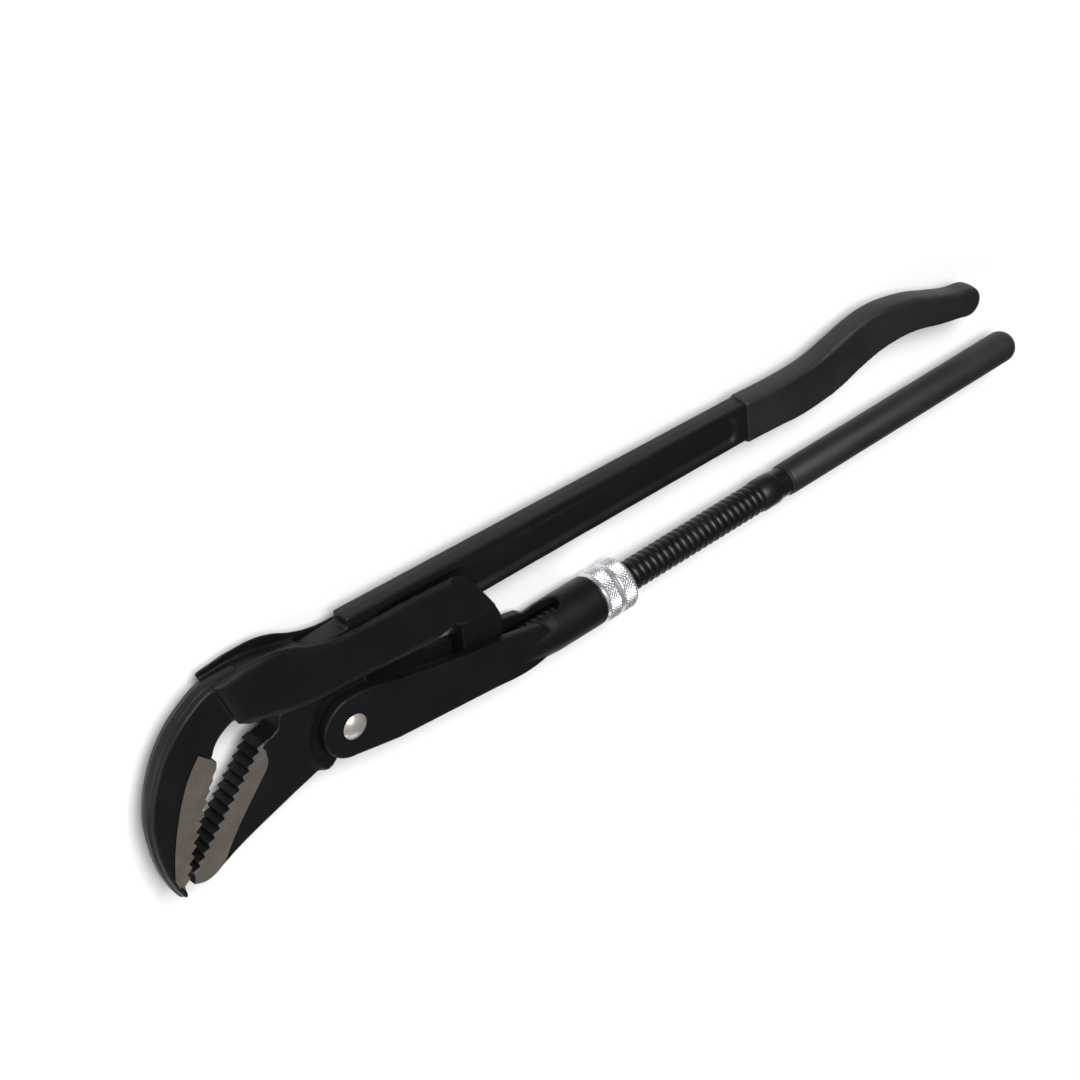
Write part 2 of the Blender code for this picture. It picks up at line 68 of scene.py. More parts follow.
MM = 0.001
SOFT = "soft"                # marks an outline point that the line passes through smoothly
HANDLE = 0.39                # handle length of a smooth point, as a share of the way to its neighbour
MERGE = 0.00001              # metres within which doubled points become one
FLAT = 0.9                   # a face whose normal has more than this along Z lies flat
REACH = 20.0                 # from the mid-plane, past both sides of the thickest piece
SHARP_RIM = [(0.02, 0.02)]   # rim of a cutting tool

LENGTHWISE = Vector((1, 0, 0))
UPRIGHT = Vector((0, 0, 1))

Object = bpy.types.Object
Material = bpy.types.Material
Socket = bpy.types.NodeSocket
Point = tuple
Outline = Sequence[Point]

# Places and sizes that more than one piece shares, in millimetres
RIVET = (-152.5, 20.5)
RIVET_RADIUS = 4.0
TAIL_PIN = (-72.0, 0.0)
TAIL_PIN_RADIUS = 3.0
FIT = 0.05                   # running fit of a hole round the rivet or the tail pin
STRIP_HALF = 5.9             # half the thickness of both jaws over their ground sides
SEAM_X = 103.0               # where the upper grip begins on the lever


class Operation(Enum):
    """How a tool shape changes a body."""

    JOIN = "UNION"
    CUT = "DIFFERENCE"


# ---- Drawing outlines ----

def arc(x: float, y: float, radius: float, start: float, end: float, steps: int) -> list[Point]:
    """Points on a circle.

    Args:
        x, y: the centre, in millimetres.
        radius: in millimetres.
        start, end: the angles of the first and last point, in degrees.
        steps: how many chords.

    Returns:
        The points from start to end.
    """
    angles = [math.radians(start + (end - start) * i / steps) for i in range(steps + 1)]
    return [(x + radius * math.cos(a), y + radius * math.sin(a)) for a in angles]


def flowing(points: Outline, spacing: float = 1.6) -> list[Vector]:
    """Turn outline points into a dense closed line, smooth at the points marked SOFT.

    Args:
        points: (x, y) corners and (x, y, SOFT) smooth points, in millimetres.
        spacing: greatest distance between the points returned, on curved stretches.

    Returns:
        Points of the line, in metres, at Z zero.
    """
    knots = [Vector((p[0], p[1], 0.0)) for p in points]
    smooth = [len(p) > 2 for p in points]
    count = len(knots)
    tangents = [((knots[(i + 1) % count] - knots[i]).normalized()
                 + (knots[i] - knots[i - 1]).normalized()).normalized() for i in range(count)]
    line = []
    for i in range(count):
        j = (i + 1) % count
        reach = (knots[j] - knots[i]).length * HANDLE
        if not smooth[i] and not smooth[j]:
            line.append(knots[i])
            continue
        straight = (knots[j] - knots[i]).normalized()
        leave = knots[i] + (tangents[i] if smooth[i] else straight) * reach
        arrive = knots[j] - (tangents[j] if smooth[j] else straight) * reach
        pieces = max(2, math.ceil(reach / HANDLE / spacing) + 1)
        line += interpolate_bezier(knots[i], leave, arrive, knots[j], pieces)[:-1]
    return [point * MM for point in line]


@dataclass(frozen=True)
class Teeth:
    """Row of teeth cut in the edge of a jaw."""

    start: Point                 # the first valley
    end: Point                   # the last one
    count: int
    side: float                  # +1 where the tips lie left of the way from start to end, -1 where right
    lean: float                  # where a tip lies between its two valleys, from 0 to 1
    bow: float = 0.0             # how hollow the row is at its middle
    fade: float = 0.0            # share of its height that the last tooth has lost, from the middle on
    height: float = 2.3

    def points(self) -> list[Point]:
        """Valleys and tips of the row."""
        first, last = Vector(self.start), Vector(self.end)
        along = last - first
        across = Vector((-along.y, along.x)).normalized() * self.side

        def on_line(t: float) -> Vector:
            """Point of the bowed valley line."""
            return first + along * t - across * (4 * self.bow * t * (1 - t))

        row = []
        for i in range(self.count):
            t = (i + self.lean) / self.count
            row.append(tuple(on_line(i / self.count)))
            row.append(tuple(on_line(t) + across * self.height * (1 - self.fade * max(0.0, 2 * t - 1))))
        row.append(tuple(on_line(1.0)))
        return row


def soft(points: Iterable[Point]) -> list[Point]:
    """The points, marked as smooth ones."""
    return [(*point, SOFT) for point in points]


def rounding(radius: float, steps: int) -> Iterator[Point]:
    """Insets and rises, in millimetres, that turn a rim over in a quarter circle."""
    for i in range(steps):
        a, b = (math.pi / 2 * k / steps for k in (i, i + 1))
        yield radius * (math.cos(a) - math.cos(b)), radius * (math.sin(b) - math.sin(a))


# ---- Modelling by hand ----

def deselect() -> None:
    """Leave edit mode and deselect everything."""
    if bpy.context.object and bpy.context.object.mode != "OBJECT":
        bpy.ops.object.mode_set(mode="OBJECT")
    bpy.ops.object.select_all(action="DESELECT")


def pick(obj: Object) -> None:
    """Make one object the only selected and the active one."""
    deselect()
    obj.select_set(True)
    bpy.context.view_layer.objects.active = obj


def added(name: str) -> Object:
    """Name the primitive just added, and apply its place."""
    obj = bpy.context.active_object
    obj.name = obj.data.name = name
    bpy.ops.object.transform_apply(location=True, rotation=True, scale=True)
    return obj


def edit_all(obj: Object) -> None:
    """Go into edit mode on one object, with all of it selected."""
    pick(obj)
    bpy.ops.object.mode_set(mode="EDIT")
    bpy.ops.mesh.select_mode(type="VERT")
    bpy.ops.mesh.select_all(action="SELECT")


def trace(name: str, path: Sequence[Vector]) -> Object:
    """Draw a chain of edges by extruding one vertex from point to point.

    Args:
        name: of the new object, which is left in edit mode.
        path: the points, in metres.

    Returns:
        The object.
    """
    deselect()
    bpy.ops.mesh.primitive_plane_add(size=MM, location=path[0])
    obj = added(name)
    edit_all(obj)
    bpy.ops.mesh.merge(type="CENTER")
    for here, there in zip(path, path[1:]):
        bpy.ops.mesh.extrude_region_move(TRANSFORM_OT_translate={"value": there - here})
    return obj


def mend(obj: Object) -> Object:
    """Merge doubled points and point the faces outwards."""
    edit_all(obj)
    bpy.ops.mesh.remove_doubles(threshold=MERGE)
    bpy.ops.mesh.normals_make_consistent(inside=False)
    bpy.ops.object.mode_set(mode="OBJECT")
    return obj


def apply_modifier(obj: Object, kind: str, **settings: object) -> Object:
    """Add a modifier with its settings and apply it."""
    pick(obj)
    step = obj.modifiers.new(kind.lower(), kind)
    for setting, value in settings.items():
        setattr(step, setting, value)
    bpy.ops.object.modifier_apply(modifier=step.name)
    return obj


def mirrored(obj: Object) -> Object:
    """Add the other half across the mid-plane."""
    apply_modifier(obj, "MIRROR", use_axis=(False, False, True), merge_threshold=MERGE)
    return mend(obj)


def shaded(obj: Object, degrees: float) -> Object:
    """Shade smooth, except where faces meet at more than this angle."""
    pick(obj)
    bpy.ops.object.shade_smooth_by_angle(angle=math.radians(degrees))
    return obj


def combine(body: Object, operation: Operation, *tools: Object) -> Object:
    """Join tools to a body or cut them out of it; the tools are used up.

    Faces with five sides or more are cut into triangles first, since a boolean can spoil a hollow one.
    """
    for piece in (body, *tools):
        apply_modifier(piece, "TRIANGULATE", min_vertices=5)
    for tool in tools:
        apply_modifier(body, "BOOLEAN", operation=operation.value, solver="MANIFOLD", object=tool)
        bpy.data.objects.remove(tool)
    return body


def fill_outline(name: str, points: Outline, level: float) -> Object:
    """Fill an outline with one face, and stay in edit mode with it selected.

    Args:
        name: of the new object.
        points: the outline.
        level: where the face lies above the mid-plane, in millimetres.

    Returns:
        The object, an open sheet.
    """
    lift = Vector((0.0, 0.0, level * MM))
    obj = trace(name, [point + lift for point in flowing(points)])
    bpy.ops.mesh.select_all(action="SELECT")
    bpy.ops.mesh.edge_face_add()
    return obj


def pull(rise: float) -> None:
    """Extrude the selected face straight up, in millimetres."""
    bpy.ops.mesh.extrude_region_move(TRANSFORM_OT_translate={"value": (0.0, 0.0, rise * MM)})


def step_in(*steps: Point) -> None:
    """Inset the selected face and move it up, by each (inset, rise) in millimetres."""
    for inset, rise in steps:
        bpy.ops.mesh.inset(thickness=inset * MM, depth=0.0)
        bpy.ops.transform.translate(value=(0.0, 0.0, rise * MM))


def slab(name: str, points: Outline, half: float, rim: Iterable[Point], draft: float = 0.08) -> Object:
    """Flat piece centred on the mid-plane, with drafted walls and a shaped rim.

    Args:
        name: of the new object.
        points: the outline at the mid-plane.
        half: half the thickness.
        rim: insets and rises of the rim, from the wall to the flat face.
        draft: how far the wall leans in before the rim.

    Returns:
        The object, one closed shell.
    """
    steps = list(rim)
    obj = fill_outline(name, points, 0.0)
    step_in((draft, half - sum(rise for _, rise in steps)), *steps)
    return mirrored(obj)


def side_plates(name: str, points: Outline, low: float, high: float, rim: Iterable[Point],
                edge: float = 0.1) -> Object:
    """Two alike plates, one on each side of the mid-plane, with their outer rims shaped.

    Args:
        name: of the new object.
        points: the outline of a plate's inner face.
        low, high: distances of the inner and outer faces from the mid-plane.
        rim: insets and rises of the rim, from the wall to the outer face.
        edge: height of the upright edge by the inner face, and how far the wall above it leans in.

    Returns:
        The object, two closed shells.
    """
    steps = list(rim)
    obj = fill_outline(name, points, low)
    pull(edge)
    step_in((edge, high - low - edge - sum(rise for _, rise in steps)), *steps)
    return mirrored(obj)


def turned(name: str, profile: Sequence[Point], steps: int, axis: Vector = LENGTHWISE,
           centre: Point = (0.0, 0.0), closed: bool = False) -> Object:
    """Spin a profile into a solid.

    Args:
        name: of the new object.
        profile: (distance along the axis, radius) points, in millimetres.
        steps: how many sides the solid has.
        axis: the axis of the turning, LENGTHWISE or UPRIGHT.
        centre: (x, y) that an upright axis passes through, in millimetres.
        closed: whether the profile is a loop, as a ring's is.

    Returns:
        The object, one closed shell.
    """
    if axis.x:
        path = [Vector((along, radius, 0.0)) * MM for along, radius in profile]
    else:
        path = [Vector((centre[0] + radius, centre[1], along)) * MM for along, radius in profile]
    obj = trace(name, path + path[:1] if closed else path)
    bpy.ops.mesh.select_all(action="SELECT")
    bpy.ops.mesh.spin(steps=steps, angle=math.tau, axis=axis,
                      center=(centre[0] * MM, centre[1] * MM, 0.0))
    return mend(obj)


def cylinder(name: str, radius: float, low: Vector, high: Vector, sides: int = 48,
             top_radius: float | None = None) -> Object:
    """Closed cylinder or cone.

    Args:
        name: of the new object.
        radius: at the low end, in millimetres.
        low, high: the ends of its axis, in millimetres.
        sides: how many sides it has.
        top_radius: at the high end, if it is a cone.

    Returns:
        The object, one closed shell.
    """
    deselect()
    along = high - low
    bpy.ops.mesh.primitive_cone_add(
        vertices=sides, radius1=radius * MM, radius2=(radius if top_radius is None else top_radius) * MM,
        depth=along.length * MM, location=(low + high) / 2 * MM,
        rotation=along.to_track_quat("Z", "Y").to_euler())
    return added(name)


def through(name: str, place: Point, radius: float, sides: int = 48) -> Object:
    """Upright cylinder at (x, y) that cuts a hole right through a piece."""
    return cylinder(name, radius, Vector((*place, -REACH)), Vector((*place, REACH)), sides)


def forged(obj: Object, grain: float, passes: int, swell: float = 0.1, wave: float = 9.0) -> Object:
    """Melt a body's edges and inner corners into the soft radii of a drop forging.

    Args:
        obj: the body, one closed shell.
        grain: size of the new faces, in millimetres.
        passes: how often the surface is evened out; more makes larger radii.
        swell: height of the shallow waves that the hammer and the scale leave, in millimetres.
        wave: length of these waves, in millimetres.

    Returns:
        The object.
    """
    apply_modifier(obj, "REMESH", mode="VOXEL", voxel_size=grain * MM)
    apply_modifier(obj, "SMOOTH", factor=0.5, iterations=passes)
    clouds = bpy.data.textures.new("forging_waves", "CLOUDS")
    clouds.noise_scale = wave * MM
    apply_modifier(obj, "DISPLACE", texture=clouds, strength=swell * MM, mid_level=0.5)
    bpy.data.textures.remove(clouds)
    pick(obj)
    bpy.ops.object.shade_smooth()
    return obj


# ---- Finishes ----

def linear(hex_colour: str) -> tuple[float, float, float, float]:
    """Linear colour of an sRGB hex value such as "#1a2b3c"."""
    parts = [int(hex_colour[i:i + 2], 16) / 255 for i in (1, 3, 5)]
    return (*(c / 12.92 if c <= 0.04045 else ((c + 0.055) / 1.055) ** 2.4 for c in parts), 1.0)


def per_metre(size_mm: float) -> float:
    """Pattern scale that makes one feature size_mm wide."""
    return 1.0 / MM / size_mm


class Shading:
    """Node tree of one material, with short ways to add the usual nodes."""

    def __init__(self, name: str) -> None:
        """Make a material with an empty tree."""
        self.material = bpy.data.materials.new(name)
        self.material.use_nodes = True
        self.graph = self.material.node_tree
        self.graph.nodes.clear()

    def node(self, kind: str, inputs: dict | None = None, **settings: object) -> bpy.types.Node:
        """Add a node with its settings, and set or link its inputs.

        Args:
            kind: the node's type, without the word ShaderNode.
            inputs: a constant or another node's socket for each input's name or number.
            settings: the node's own properties.

        Returns:
            The node.
        """
        made = self.graph.nodes.new("ShaderNode" + kind)
        for setting, value in settings.items():
            setattr(made, setting, value)
        for name, value in (inputs or {}).items():
            if isinstance(value, Socket):
                self.graph.links.new(value, made.inputs[name])
            else:
                made.inputs[name].default_value = value
        return made

    def place(self, turn: float = 0.0, scale: Point = (1.0, 1.0, 1.0)) -> Socket:
        """Object coordinates, turned about Z by some degrees and stretched."""
        inputs = {"Vector": self.node("TexCoord").outputs["Object"],
                  "Rotation": (0.0, 0.0, math.radians(turn)), "Scale": scale}
        return self.node("Mapping", inputs).outputs["Vector"]

    def noise(self, place: Socket, size_mm: float, detail: float) -> Socket:
        """Soft noise whose features are size_mm wide."""
        inputs = {"Vector": place, "Scale": per_metre(size_mm), "Detail": detail}
        return self.node("TexNoise", inputs).outputs["Fac"]

    def spread(self, value: Socket, low: float, high: float, to_low: float = 0.0,
               to_high: float = 1.0) -> Socket:
        """Map the range low..high of a value to another range, clamped."""
        inputs = {"Value": value, "From Min": low, "From Max": high, "To Min": to_low, "To Max": to_high}
        return self.node("MapRange", inputs).outputs["Result"]

    def edges(self, low: float, high: float) -> Socket:
        """Share that rises from 0 to 1 along the convex edges, between two values of pointiness."""
        return self.spread(self.node("NewGeometry").outputs["Pointiness"], low, high)

    def calculate(self, operation: str, *values: object) -> Socket:
        """Result of a Math node on constants and sockets."""
        return self.node("Math", dict(enumerate(values)), operation=operation).outputs[0]

    def blend(self, share: Socket, first: str, second: str) -> Socket:
        """Colour between two hex colours, by share."""
        inputs = {0: share, 6: linear(first), 7: linear(second)}
        return self.node("Mix", inputs, data_type="RGBA").outputs[2]

    def bump(self, height: Socket, depth: float, strength: float) -> Socket:
        """Normal of a surface with this relief, its depth in metres."""
        inputs = {"Height": height, "Distance": depth, "Strength": strength}
        return self.node("Bump", inputs).outputs["Normal"]

    def finish(self, inputs: dict) -> Material:
        """Close the tree with a principled shader that has these inputs."""
        shader = self.node("BsdfPrincipled", inputs)
        self.node("OutputMaterial", {"Surface": shader.outputs["BSDF"]})
        return self.material


@dataclass(frozen=True)
class SatinForgingPaint:
    """Baked black lacquer sprayed over a shot-blasted drop forging.

    It hides the steel's colour but not its skin: the blasted grain shows in the gloss, a few scale
    pits stay open, and the colour is lighter along the edges, partly the coat worn thin and partly a
    painted edge highlight.
    """

    name: str = "baked_black_lacquer_on_forging"
    coat: str = "#0b0c0c"
    # lighter colour on the edges: the coat worn thin, and a painted edge highlight
    thin_coat_and_edge_highlight: str = "#1d1c1b"
    glossy: float = 0.36         # roughness where the coat lies thick
    matt: float = 0.52
    grain_mm: float = 0.55       # shot-blasted grain; real grain is 0.2 mm, drawn coarser to show
    grain_depth: float = 0.000022
    pit_mm: float = 5.0          # distance between open scale pits
    pit_share: float = 3.0       # depth of a pit, in grains
    cloud_mm: float = 22.0       # patches where the coat is thicker

    def material(self) -> Material:
        """Build the material."""
        tree = Shading(self.name)
        place = tree.place()
        grain = tree.noise(place, self.grain_mm, 2.0)
        cloud = tree.noise(place, self.cloud_mm, 5.0)
        pits = tree.node("TexVoronoi", {"Vector": place, "Scale": per_metre(self.pit_mm)})
        pit = tree.spread(pits.outputs["Distance"], 0.03, 0.12)
        # share that is lighter along convex edges: partly wear, partly a painted edge highlight
        worn_and_edge_highlight = tree.calculate("MULTIPLY", tree.edges(0.53, 0.60), tree.spread(cloud, 0.35, 0.6, 0.2))
        height = tree.calculate("MULTIPLY_ADD", pit, self.pit_share, grain)
        return tree.finish({
            "Base Color": tree.blend(worn_and_edge_highlight, self.coat, self.thin_coat_and_edge_highlight),
            "Roughness": tree.spread(cloud, 0.3, 0.7, self.glossy, self.matt),
            "Normal": tree.bump(height, self.grain_depth, 0.8),
            "IOR": 1.5, "Specular IOR Level": 0.22})


@dataclass(frozen=True)
class GroundSteel:
    """Hardened carbon steel, surface-ground across the jaw.

    Fine parallel scratches, a warm grey from the light oil left on it, and slightly dull patches.
    """

    name: str = "surface_ground_carbon_steel"
    bright: str = "#9c938a"
    dull: str = "#7a7169"
    scratch_mm: float = 0.5      # wheel marks; real ones are 0.1 mm apart, drawn coarser to show
    scratch_depth: float = 0.00003
    scratch_tone: float = 0.55   # how much of the tone comes from the wheel marks
    direction: float = 22.0      # of the wheel marks, in degrees from X
    patch_mm: float = 9.0

    def material(self) -> Material:
        """Build the material."""
        tree = Shading(self.name)
        marks = tree.noise(tree.place(self.direction, (0.06, 1.0, 1.0)), self.scratch_mm, 3.0)
        patches = tree.spread(tree.noise(tree.place(), self.patch_mm, 4.0), 0.3, 0.7, 0.0, 0.45)
        tone = tree.calculate("MULTIPLY_ADD", marks, self.scratch_tone, patches)
        return tree.finish({
            "Base Color": tree.blend(tone, self.dull, self.bright), "Metallic": 0.85,
            "Roughness": tree.spread(marks, 0.3, 0.7, 0.42, 0.56),
            "Normal": tree.bump(marks, self.scratch_depth, 0.6)})


@dataclass(frozen=True)
class BlackPhosphate:
    """Steel thread blackened in a phosphate bath and oiled: nearly black, with a soft metal sheen."""

    name: str = "oiled_black_phosphate_on_steel"
    bath: str = "#0d0d0e"
    # lighter colour on the crests: rubbing, and a painted highlight
    rubbed_and_crest_highlight: str = "#2a2927"
    crystal_mm: float = 0.4      # crystal clusters; real ones are 0.05 mm, drawn coarser to show
    crystal_depth: float = 0.00001
    wipe_mm: float = 6.0         # streaks that an oily cloth leaves along the rod

    def material(self) -> Material:
        """Build the material."""
        tree = Shading(self.name)
        crystals = tree.noise(tree.place(), self.crystal_mm, 3.0)
        wipes = tree.noise(tree.place(scale=(0.3, 1.0, 1.0)), self.wipe_mm, 4.0)
        # lighter on the thread's crests: partly rubbing, partly a painted highlight
        crest_rub_and_highlight = tree.calculate("MULTIPLY", tree.edges(0.52, 0.62), tree.spread(wipes, 0.35, 0.65, 0.3))
        return tree.finish({
            "Base Color": tree.blend(crest_rub_and_highlight, self.bath, self.rubbed_and_crest_highlight), "Metallic": 0.35,
            "Roughness": tree.spread(wipes, 0.3, 0.7, 0.3, 0.46),
            "Normal": tree.bump(crystals, self.crystal_depth, 0.6)})


@dataclass(frozen=True)
class ChromePlate:
    """Decorative chromium over nickel on a rolled knurl: a cold mirror, faintly clouded."""

    name: str = "decorative_chromium_plate"
    plate: str = "#e2e3e6"
    shade: str = "#d2d4d8"
    haze_mm: float = 3.0

    def material(self) -> Material:
        """Build the material."""
        tree = Shading(self.name)
        haze = tree.noise(tree.place(), self.haze_mm, 4.0)
        return tree.finish({
            "Base Color": tree.blend(tree.spread(haze, 0.35, 0.65), self.shade, self.plate),
            "Metallic": 0.85, "Roughness": tree.spread(haze, 0.3, 0.7, 0.24, 0.3)})


@dataclass(frozen=True)
class BrightSteel:
    """Bare mild steel, headed cold and barrel-polished: bright, with small dents from the tumbling."""

    name: str = "barrel_polished_mild_steel"
    bright: str = "#e8e2dc"
    stained: str = "#b5a99e"
    dent_mm: float = 1.4
    dent_depth: float = 0.0001
    stain_mm: float = 4.0

    def material(self) -> Material:
        """Build the material."""
        tree = Shading(self.name)
        place = tree.place()
        stains = tree.noise(place, self.stain_mm, 5.0)
        stained = tree.spread(stains, 0.4, 0.7, 0.0, 0.8)
        return tree.finish({
            "Base Color": tree.blend(stained, self.bright, self.stained), "Metallic": 0.75,
            "Roughness": tree.spread(stains, 0.3, 0.7, 0.2, 0.36),
            "Normal": tree.bump(tree.noise(place, self.dent_mm, 1.0), self.dent_depth, 0.5)})


@dataclass(frozen=True)
class DippedVinyl:
    """Plastisol the lever was dipped in: matt black with a slight orange-peel skin."""

    name: str = "dipped_pvc_plastisol"
    skin: str = "#0e0e0f"
    bloom: str = "#161617"
    peel_mm: float = 2.2
    peel_depth: float = 0.00006
    cloud_mm: float = 30.0

    def material(self) -> Material:
        """Build the material."""
        tree = Shading(self.name)
        place = tree.place()
        cloud = tree.noise(place, self.cloud_mm, 4.0)
        return tree.finish({
            "Base Color": tree.blend(tree.spread(cloud, 0.35, 0.65), self.skin, self.bloom),
            "Roughness": tree.spread(cloud, 0.3, 0.7, 0.5, 0.62),
            "Normal": tree.bump(tree.noise(place, self.peel_mm, 2.0), self.peel_depth, 0.5),
            "IOR": 1.52, "Specular IOR Level": 0.42})


GROUND = "ground_steel"          # no slot of the record's: it lies beside the paint on the jaws
FINISHES = {"black_paint": SatinForgingPaint, GROUND: GroundSteel, "black_phosphate": BlackPhosphate,
            "chrome_plate": ChromePlate, "bright_steel": BrightSteel, "dipped_vinyl": DippedVinyl}


# ---- Placing ----

@dataclass
class Bench:
    """Where the tool's axes lie in the CAD frame, and what is handed over to it."""

    origin: Vector
    finishes: dict[str, Material]

    @classmethod
    def from_frame(cls, gap: float = 0.3) -> Bench:
        """Find the axes from the adjusting nut, which starts gap millimetres past their origin."""
        low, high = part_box("adjusting_nut")
        middle = (low + high) / 2
        return cls(Vector((low.x - gap * MM, middle.y, middle.z)),
                   {slot: finish().material() for slot, finish in FINISHES.items()})

    def hand_over(self, obj: Object, body: str, slot: str, *nodes: str, ground: bool = False) -> None:
        """Move a finished piece to its place and tie it to its CAD body.

        Args:
            obj: the piece, on the tool's own axes.
            body: the CAD body it moves with.
            slot: the record's material slot.
            nodes: the CAD nodes it stands for.
            ground: whether the faces marked 1 are ground bare.
        """
        pick(obj)
        bpy.ops.transform.translate(value=self.origin)
        bpy.ops.object.transform_apply(location=True, rotation=True, scale=True)
        marks = [face.material_index if ground else 0 for face in obj.data.polygons]
        obj.data.materials.clear()
        for finish in (slot, GROUND) if ground else (slot,):
            obj.data.materials.append(self.finishes[finish])
        obj.data.polygons.foreach_set("material_index", marks)
        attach(obj, body)
        if nodes:
            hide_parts(*nodes)
        LOG.info("%s: %d faces, rides on %s", obj.name, len(obj.data.polygons), body)


def toothed_edge(name: str, teeth: Teeth, back: Outline) -> Object:
    """Toothed edge of a jaw, with its flat sides ground bare.

    Args:
        name: of the new object.
        teeth: the row of teeth.
        back: the rest of the outline, behind the teeth.

    Returns:
        The object: its faces are marked 0 on the tooth flanks and 1 on the ground sides.
    """
    obj = shaded(slab(name, [*teeth.points(), *back], STRIP_HALF, [(0.12, 0.12)], draft=0.04), 25.0)
    for face in obj.data.polygons:
        face.material_index = int(abs(face.normal.z) > FLAT)
    return obj


# ---- Upper lever and lower jaw ----

@dataclass
class UpperLever:
    """Upper lever, shank and lower jaw, one forging, with the grip's core at its end."""

    jaw_half: float = 5.5
    body_half: float = 6.2
    shank_half: float = 5.3
    web_half: float = 3.2
    seat_half: float = 5.0
    seat_radius: float = 22.0
    lip_height: float = 0.9      # of the rounded lip round the seat, over the jaw's face
    shank_top: float = 70.2
    shank_bottom: float = 45.6
    step_x: float = -145.0
    rim: float = 4.0             # width of the lever's flanges beside the pockets
    teeth: Teeth = Teeth((-245.8, -11.6), (-198.4, 36.9), 14, 1.0, 0.3)

    def jaw(self) -> Object:
        """Jaw and shank, without the teeth."""
        points = [(-243.4, -13.6), (-197.4, 36.4), (-194.0, 37.2), (-189.0, 38.8, SOFT),
                  (-187.4, 46.0), (-187.2, 56.0), (-187.0, self.shank_top), (-120.0, self.shank_top),
                  (-120.0, self.shank_bottom), (-137.5, self.shank_bottom), (-138.5, 40.0),
                  *soft(arc(*RIVET, 14.5, 10.0, -100.0, 8)),
                  (-160.4, 3.8, SOFT), (-163.0, 1.4, SOFT), (-166.9, 0.3, SOFT), (-170.0, 1.6, SOFT),
                  (-173.0, 3.6), (-196.0, -3.6, SOFT), (-215.0, -9.6, SOFT), (-232.0, -16.0)]
        return slab("handle_jaw_forging", points, self.jaw_half, rounding(1.0, 3))

    def body_faces(self) -> Object:
        """Raised, painted faces beside the ground strip."""
        points = [(-200.6, 34.2), (-197.6, 37.1), (-193.6, 37.6), (-189.4, 40.0), (-188.0, 46.0),
                  (-178.0, 46.4), (-139.0, 44.6), (-138.6, 20.0), (-152.0, 6.0), (-160.4, 4.6),
                  (-166.9, 1.2), (-171.8, 4.0), (-196.0, -3.0, SOFT), (-215.0, -9.0, SOFT), (-230.6, -15.2),
                  (-227.4, -10.8, SOFT), (-222.4, -3.3, SOFT), (-213.6, 7.2, SOFT), (-204.6, 17.0, SOFT),
                  (-198.2, 25.2, SOFT), (-197.8, 31.0, SOFT)]
        return slab("jaw_body_faces", points, self.body_half, rounding(0.9, 3))

    def lever(self) -> Object:
        """Tapering lever with its step behind the loop."""
        points = [(self.step_x, 75.3), (SEAM_X + 8.0, 63.0), (SEAM_X + 8.0, 40.8), (-58.0, 45.0),
                  (-130.0, self.shank_bottom), (-150.0, self.shank_bottom), (-150.0, self.shank_top - 2.0),
                  (self.step_x, self.shank_top - 2.0)]
        return slab("lever", points, self.shank_half, rounding(1.1, 3), draft=0.35)

    def seat_cutters(self) -> Object:
        """Round recesses for the yoke's ears, one on each side."""
        low, high = Vector((*RIVET, self.seat_half)), Vector((*RIVET, self.body_half + 2.0))
        return mirrored(cylinder("seats", self.seat_radius, low, high, 96, self.seat_radius + 1.4))

    def seat_lips(self) -> Object:
        """Rounded lips round the seats, only on the side of the teeth."""
        top, foot, r = self.body_half + self.lip_height, self.body_half - 0.4, self.seat_radius
        profile = [(foot, r), (top - 0.2, r + 0.5), (top, r + 1.1), (top - 0.15, r + 1.8),
                   (foot + 0.3, r + 5.4), (foot, r + 5.6)]
        lips = mirrored(turned("seat_lips", profile, 96, UPRIGHT, RIVET, closed=True))
        x, y = RIVET
        away = slab("away", [(x - 21.5, y + 30), (x - 19.0, y + 16.0), (x - 12.6, y - 17.4),
                             (x - 16.0, y - 18.0), (x - 19.0, y - 16.0), (x - 24.0, y - 16.4),
                             (x - 34.0, y - 19.0), (x - 34.0, y - 40), (x + 40, y - 40),
                             (x + 40, y + 40), (x - 21.5, y + 40)], 12.0, SHARP_RIM)
        return combine(lips, Operation.CUT, away)

    def web_cutters(self) -> Object:
        """Long pockets with sloping walls that leave the lever an I section."""
        top, bottom = 74.3 - self.rim - 1.0, self.shank_bottom + self.rim
        points = [(-126.0, bottom), (-131.0, bottom + 5.0, SOFT), (-131.0, top - 5.0, SOFT), (-126.0, top),
                  (SEAM_X - 9.0, 63.9 - self.rim), (SEAM_X - 6.0, 61.0 - self.rim, SOFT),
                  (SEAM_X - 6.0, 43.4 + self.rim, SOFT), (SEAM_X - 9.0, 40.6 + self.rim)]
        obj = fill_outline("webs", points, self.shank_half + 1.0)
        pull(-0.4)
        step_in((1.5, self.web_half + 0.7 - self.shank_half - 0.6),
                *((rise, -inset) for inset, rise in rounding(0.7, 2)))
        return mirrored(obj)

    def build(self, bench: Bench) -> None:
        """Model the forging and its toothed strip."""
        body = combine(self.jaw(), Operation.JOIN, self.body_faces(), self.lever())
        hole = through("rivet_hole", RIVET, RIVET_RADIUS + FIT)
        combine(body, Operation.CUT, self.seat_cutters(), self.web_cutters(), hole)
        combine(body, Operation.JOIN, self.seat_lips())
        bench.hand_over(forged(body, 0.7, 3), "upper_lever", "black_paint", "handle_jaw")
        strip = toothed_edge("lower_jaw_teeth", self.teeth, [
            (-197.4, 34.4), (-198.0, 31.5, SOFT), (-197.8, 25.2, SOFT), (-204.0, 16.8, SOFT),
            (-213.0, 7.0, SOFT), (-222.0, -3.6, SOFT), (-229.6, -14.4), (-234.8, -17.1, SOFT),
            (-240.6, -18.1, SOFT), (-246.8, -16.0)])
        bench.hand_over(strip, "upper_lever", "black_paint", ground=True)


# ---- Hook jaw ----

